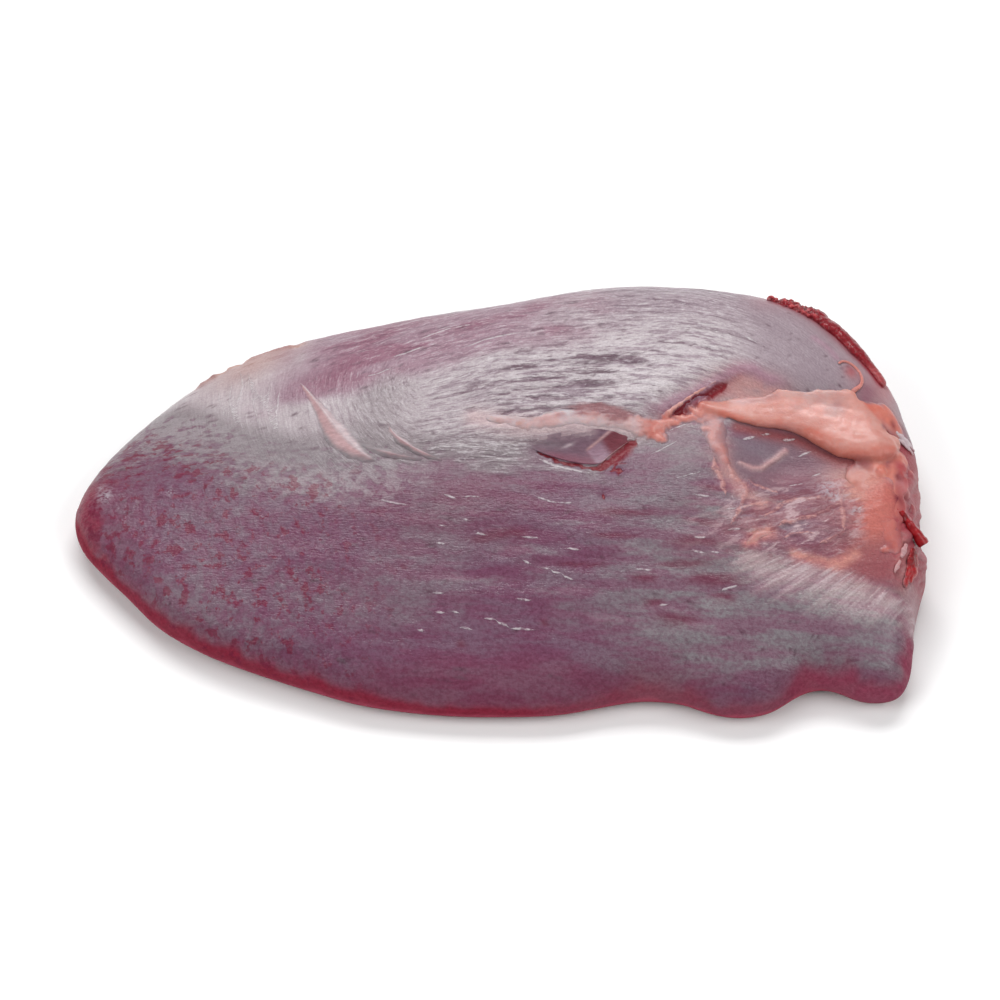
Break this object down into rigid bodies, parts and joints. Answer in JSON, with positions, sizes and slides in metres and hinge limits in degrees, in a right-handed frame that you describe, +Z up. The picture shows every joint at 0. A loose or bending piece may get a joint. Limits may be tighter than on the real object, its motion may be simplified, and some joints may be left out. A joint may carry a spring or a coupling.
{
  "type": "raw lamb spleen",
  "caption": "Raw lamb spleen: a flat tapering organ with a thick rolled edge, a hollow with fat at the hilum and a cut vessel at the blunt end.",
  "frame": {"origin": "middle of the bounding box, on the plane that the organ rests on", "axes": "+X along the organ to its blunt hilum end, +Y across it to its thick margin, +Z up, away from the side it lies on"},
  "size_m": [0.1303, 0.0748, 0.0215],
  "materials": {
    "capsule": "wet grey-purple spleen capsule, mottled, with a pale fibrous sheen",
    "fat": "soft raw fat, pink to salmon, moist",
    "membrane": "thin pale peritoneum over the capsule, moist",
    "vessel": "raw vessel wall, pink to dark blood red",
    "torn_flesh": "torn raw flesh, deep red, wet"
  },
  "bodies": {
    "root": {"spleen_body": "capsule", "fat_tongue": "fat", "hilum_fat": "fat", "shoulder_fat": "fat", "fat_tag": "fat", "fat_strip": "fat", "hilum_strand": "fat", "capsule_flap": "membrane", "membrane_fold": "membrane", "membrane_fold_small": "membrane", "torn_rim": "torn_flesh", "vessel_curl": "vessel", "vessel_stump": "vessel"}
  },
  "joints": []
}
